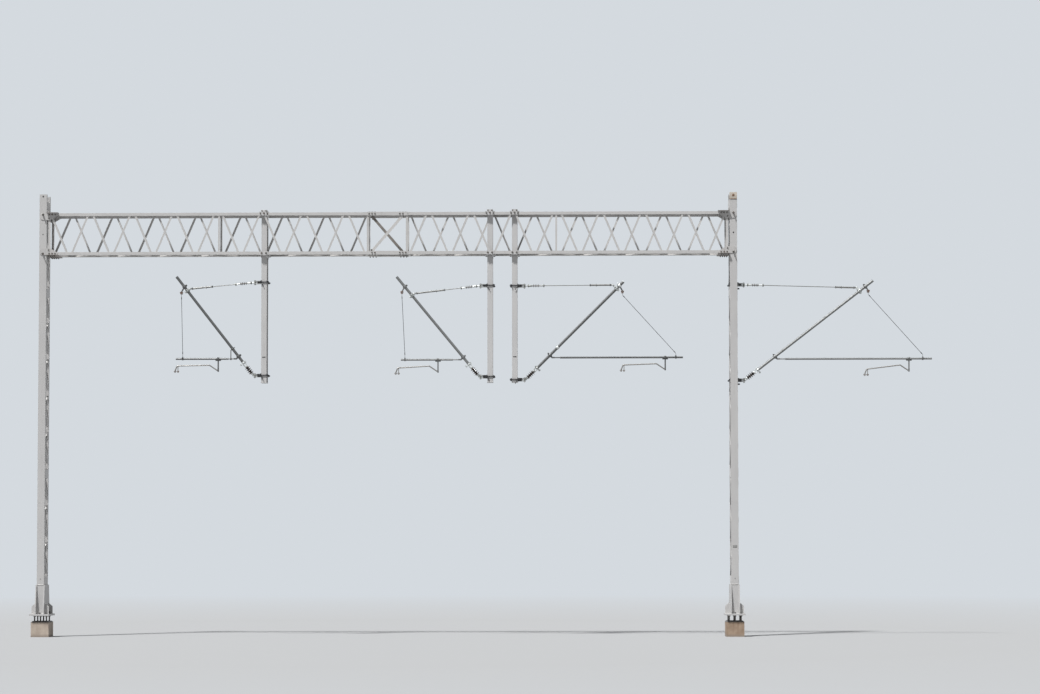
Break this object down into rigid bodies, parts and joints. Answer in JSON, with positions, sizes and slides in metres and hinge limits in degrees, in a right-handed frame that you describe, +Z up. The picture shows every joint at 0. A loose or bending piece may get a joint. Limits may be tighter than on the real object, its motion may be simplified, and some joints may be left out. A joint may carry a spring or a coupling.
{
  "type": "railway catenary mast",
  "caption": "Portal of laced steel masts and a box lattice beam, with drop posts and hinged tubular cantilevers that carry the overhead wires of parallel tracks.",
  "frame": {"origin": "centre of the underside of the left foundation head, seen from the front", "axes": "+X from the left mast to the right mast along the beam, +Y along the tracks away from the front, +Z up"},
  "size_m": [19.818, 0.6, 9.77],
  "materials": {
    "concrete": "matte",
    "grey_paint": "matte",
    "zinc_fixings": "satin",
    "dark_iron": "matte",
    "insulator": "gloss",
    "galvanised_tube": "satin"
  },
  "bodies": {
    "root": {"left_foundation": "concrete", "left_anchor_bolts": "zinc_fixings", "left_mast_base": "grey_paint", "left_mast_channels": "grey_paint", "left_mast_lacing": "grey_paint", "left_beam_joint": "grey_paint", "left_clamp_rods": "zinc_fixings", "left_beam_front": "grey_paint", "left_beam_back": "grey_paint", "left_beam_lacing": "grey_paint", "right_foundation": "concrete", "right_anchor_bolts": "zinc_fixings", "right_mast_base": "grey_paint", "right_mast_channels": "grey_paint", "right_mast_lacing": "grey_paint", "right_beam_joint": "grey_paint", "right_clamp_rods": "zinc_fixings", "right_beam_front": "grey_paint", "right_beam_back": "grey_paint", "right_beam_lacing": "grey_paint", "splice_angles": "grey_paint", "splice_braces": "grey_paint", "drop_post_1": "grey_paint", "drop_post_1_brackets": "grey_paint", "drop_post_2": "grey_paint", "drop_post_2_brackets": "grey_paint", "drop_post_3": "grey_paint", "drop_post_3_brackets": "grey_paint", "cantilever_1_brackets": "dark_iron", "cantilever_2_brackets": "dark_iron", "cantilever_3_brackets": "dark_iron", "cantilever_4_brackets": "dark_iron"},
    "cantilever_1": {"cantilever_1_insulators": "insulator", "cantilever_1_strut": "galvanised_tube", "cantilever_1_stays": "galvanised_tube", "cantilever_1_registration_tube": "galvanised_tube"},
    "steady_arm_1": {"cantilever_1_steady_arm": "galvanised_tube"},
    "cantilever_2": {"cantilever_2_insulators": "insulator", "cantilever_2_strut": "galvanised_tube", "cantilever_2_stays": "galvanised_tube", "cantilever_2_registration_tube": "galvanised_tube"},
    "steady_arm_2": {"cantilever_2_steady_arm": "galvanised_tube"},
    "cantilever_3": {"cantilever_3_insulators": "insulator", "cantilever_3_strut": "galvanised_tube", "cantilever_3_stays": "galvanised_tube", "cantilever_3_registration_tube": "galvanised_tube"},
    "steady_arm_3": {"cantilever_3_steady_arm": "galvanised_tube"},
    "cantilever_4": {"cantilever_4_insulators": "insulator", "cantilever_4_strut": "galvanised_tube", "cantilever_4_stays": "galvanised_tube", "cantilever_4_registration_tube": "galvanised_tube"},
    "steady_arm_4": {"cantilever_4_steady_arm": "galvanised_tube"}
  },
  "joints": [
    {"name": "cantilever_1_swing", "type": "hinge", "parent": "root", "child": "cantilever_1", "pos_m": [4.676, 0, 5.758], "axis": [0, 0, 1], "range_deg": [-90, 90]},
    {"name": "steady_arm_1_uplift", "type": "hinge", "parent": "cantilever_1", "child": "steady_arm_1", "pos_m": [3.866, 0, 5.86], "axis": [0, 1, 0], "range_deg": [0, 5]},
    {"name": "cantilever_2_swing", "type": "hinge", "parent": "root", "child": "cantilever_2", "pos_m": [9.667, 0, 5.721], "axis": [0, 0, 1], "range_deg": [-90, 90]},
    {"name": "steady_arm_2_uplift", "type": "hinge", "parent": "cantilever_2", "child": "steady_arm_2", "pos_m": [8.728, 0, 5.83], "axis": [0, 1, 0], "range_deg": [0, 5]},
    {"name": "cantilever_3_swing", "type": "hinge", "parent": "root", "child": "cantilever_3", "pos_m": [10.64, 0, 5.654], "axis": [0, 0, 1], "range_deg": [-90, 90]},
    {"name": "steady_arm_3_uplift", "type": "hinge", "parent": "cantilever_3", "child": "steady_arm_3", "pos_m": [13.74, 0, 5.871], "axis": [0, 1, 0], "range_deg": [0, 5]},
    {"name": "cantilever_4_swing", "type": "hinge", "parent": "root", "child": "cantilever_4", "pos_m": [15.475, 0, 5.63], "axis": [0, 0, 1], "range_deg": [-90, 90]},
    {"name": "steady_arm_4_uplift", "type": "hinge", "parent": "cantilever_4", "child": "steady_arm_4", "pos_m": [19.099, 0, 5.83], "axis": [0, 1, 0], "range_deg": [0, 5]}
  ]
}
